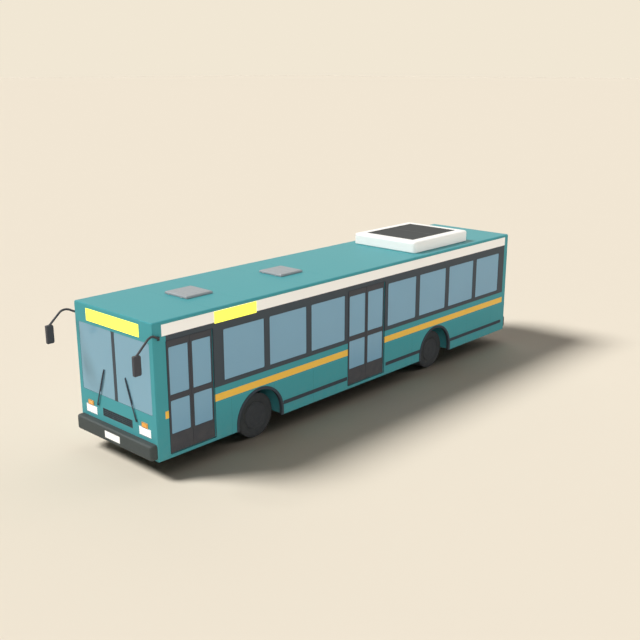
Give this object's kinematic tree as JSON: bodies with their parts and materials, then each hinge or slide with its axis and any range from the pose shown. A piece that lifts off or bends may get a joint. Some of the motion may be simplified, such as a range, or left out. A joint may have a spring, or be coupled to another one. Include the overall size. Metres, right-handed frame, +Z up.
{
  "type": "city bus",
  "caption": "Rigid single-deck city bus with steered front wheels, twin rear wheels, swinging passenger doors, roof hatches, roof unit and rear engine door.",
  "frame": {"origin": "on the ground under the centre of the overall box", "axes": "+X forward, +Y to the bus's left (door side), +Z up"},
  "size_m": [12.8354, 2.949, 3.367],
  "materials": {
    "body_teal": "semi-gloss body paint",
    "housing_teal": "satin paint in the wheel boxes",
    "matte_black": "matt black frame",
    "window_glass": "dark tinted glass",
    "windscreen_glass": "tinted laminated glass",
    "stripe_white": "semi-gloss white stripe",
    "stripe_orange": "semi-gloss orange stripe",
    "rubber_trim": "matt rubber moulding",
    "frame_black": "chassis black",
    "floor_grey": "studded floor covering",
    "cast_grey": "cast iron",
    "bumper_grey": "grained moulded plastic",
    "plate_white": "blank plate",
    "sign_yellow": "blank lit display",
    "lamp_clear": "clear lamp lens",
    "lamp_amber": "amber lens",
    "lamp_red": "red lens",
    "unit_white": "white moulded cover",
    "unit_dark": "dark grille panel",
    "hatch_grey": "grey moulded lid",
    "seat_fabric": "woven seat cover",
    "dash_grey": "grained dashboard",
    "rail_yellow": "coated handrail tube",
    "tyre_black": "tyre rubber",
    "rim_dark": "dark painted steel wheel",
    "steel": "machined steel"
  },
  "bodies": {
    "body": {"left_side_wall": "body_teal", "right_side_wall": "body_teal", "roof_panels": "body_teal", "front_panel": "body_teal", "rear_panel": "body_teal", "window_frames": "matte_black", "cabin_windows": "window_glass", "windscreen": "windscreen_glass", "cantrail_stripes": "stripe_white", "belt_stripes": "stripe_orange", "side_mouldings": "rubber_trim", "wheel_housings": "housing_teal", "underframe": "floor_grey", "engine": "cast_grey", "front_axle": "cast_grey", "rear_axle": "cast_grey", "front_bumper": "bumper_grey", "rear_bumper": "bumper_grey", "number_plates": "plate_white", "destination_signs": "sign_yellow", "headlamps": "lamp_clear", "turn_indicators": "lamp_amber", "tail_lamps": "lamp_red", "grille": "matte_black", "aircon_housing": "unit_white", "aircon_panel": "unit_dark", "seats": "seat_fabric", "driver_area": "dash_grey", "handrails": "rail_yellow"},
    "front_door_front_leaf_body": {"front_door_front_leaf": "matte_black", "front_door_front_leaf_glass": "window_glass"},
    "front_door_rear_leaf_body": {"front_door_rear_leaf": "matte_black", "front_door_rear_leaf_glass": "window_glass"},
    "middle_door_front_leaf_body": {"middle_door_front_leaf": "matte_black", "middle_door_front_leaf_glass": "window_glass"},
    "middle_door_rear_leaf_body": {"middle_door_rear_leaf": "matte_black", "middle_door_rear_leaf_glass": "window_glass"},
    "front_wheel_left": {"front_tyre_left": "tyre_black", "front_rim_left": "rim_dark"},
    "rear_wheels_left": {"rear_tyres_left": "tyre_black", "rear_rims_left": "rim_dark"},
    "knuckle_left": {"steering_knuckle_left": "cast_grey"},
    "wiper_left_body": {"wiper_left": "matte_black"},
    "mirror_left_body": {"exterior_mirror_left": "matte_black"},
    "front_wheel_right": {"front_tyre_right": "tyre_black", "front_rim_right": "rim_dark"},
    "rear_wheels_right": {"rear_tyres_right": "tyre_black", "rear_rims_right": "rim_dark"},
    "knuckle_right": {"steering_knuckle_right": "cast_grey"},
    "wiper_right_body": {"wiper_right": "matte_black"},
    "mirror_right_body": {"exterior_mirror_right": "matte_black"},
    "engine_door_body": {"engine_door": "body_teal"},
    "front_hatch_body": {"front_roof_hatch": "hatch_grey"},
    "rear_hatch_body": {"rear_roof_hatch": "hatch_grey"}
  },
  "joints": [
    {"name": "steer_left", "type": "hinge", "parent": "body", "child": "knuckle_left", "pos_m": [3.20325, 0.8585, 0.482], "axis": [0, 0, 1], "range_deg": [-45, 45]},
    {"name": "front_wheel_left_spin", "type": "hinge", "parent": "knuckle_left", "child": "front_wheel_left", "pos_m": [3.20325, 0.9785, 0.482], "axis": [0, 1, 0], "continuous": true},
    {"name": "rear_wheels_left_spin", "type": "hinge", "parent": "body", "child": "rear_wheels_left", "pos_m": [-2.98275, 0.8185, 0.482], "axis": [0, 1, 0], "continuous": true},
    {"name": "steer_right", "type": "hinge", "parent": "body", "child": "knuckle_right", "pos_m": [3.20325, -0.8585, 0.482], "axis": [0, 0, 1], "range_deg": [-45, 45]},
    {"name": "front_wheel_right_spin", "type": "hinge", "parent": "knuckle_right", "child": "front_wheel_right", "pos_m": [3.20325, -0.9785, 0.482], "axis": [0, 1, 0], "continuous": true},
    {"name": "rear_wheels_right_spin", "type": "hinge", "parent": "body", "child": "rear_wheels_right", "pos_m": [-2.98275, -0.8185, 0.482], "axis": [0, 1, 0], "continuous": true},
    {"name": "front_door_front_leaf_swing", "type": "hinge", "parent": "body", "child": "front_door_front_leaf_body", "pos_m": [5.53225, 1.235, 1.556], "axis": [0, 0, 1], "range_deg": [0, 88]},
    {"name": "front_door_rear_leaf_swing", "type": "hinge", "parent": "body", "child": "front_door_rear_leaf_body", "pos_m": [4.45925, 1.235, 1.556], "axis": [0, 0, -1], "range_deg": [0, 88]},
    {"name": "middle_door_front_leaf_swing", "type": "hinge", "parent": "body", "child": "middle_door_front_leaf_body", "pos_m": [0.41475, 1.235, 1.556], "axis": [0, 0, 1], "range_deg": [0, 88]},
    {"name": "middle_door_rear_leaf_swing", "type": "hinge", "parent": "body", "child": "middle_door_rear_leaf_body", "pos_m": [-0.84625, 1.235, 1.556], "axis": [0, 0, -1], "range_deg": [0, 88]},
    {"name": "front_hatch_lift", "type": "hinge", "parent": "body", "child": "front_hatch_body", "pos_m": [4.32025, 0, 3.086], "axis": [0, 1, 0], "range_deg": [0, 60]},
    {"name": "rear_hatch_lift", "type": "hinge", "parent": "body", "child": "rear_hatch_body", "pos_m": [1.67025, 0, 3.086], "axis": [0, 1, 0], "range_deg": [0, 60]},
    {"name": "engine_door_lift", "type": "hinge", "parent": "body", "child": "engine_door_body", "pos_m": [-6.31075, 0, 1.404], "axis": [0, 1, 0], "range_deg": [0, 80]},
    {"name": "wiper_left_sweep", "type": "hinge", "parent": "body", "child": "wiper_left_body", "pos_m": [5.87525, 0.64, 1.03], "axis": [-1, 0, 0], "range_deg": [0, 50]},
    {"name": "mirror_left_fold", "type": "hinge", "parent": "body", "child": "mirror_left_body", "pos_m": [5.74125, 1.295, 2.78], "axis": [0, 0, 1], "range_deg": [0, 60]},
    {"name": "wiper_right_sweep", "type": "hinge", "parent": "body", "child": "wiper_right_body", "pos_m": [5.87525, -0.64, 1.03], "axis": [1, 0, 0], "range_deg": [0, 50]},
    {"name": "mirror_right_fold", "type": "hinge", "parent": "body", "child": "mirror_right_body", "pos_m": [5.74125, -1.295, 2.78], "axis": [0, 0, -1], "range_deg": [0, 60]}
  ],
  "couplings": [
    {"joint": "steer_right", "follows": "steer_left", "ratio": 1},
    {"joint": "front_door_rear_leaf_swing", "follows": "front_door_front_leaf_swing", "ratio": 1},
    {"joint": "middle_door_rear_leaf_swing", "follows": "middle_door_front_leaf_swing", "ratio": 1},
    {"joint": "wiper_right_sweep", "follows": "wiper_left_sweep", "ratio": 1}
  ]
}
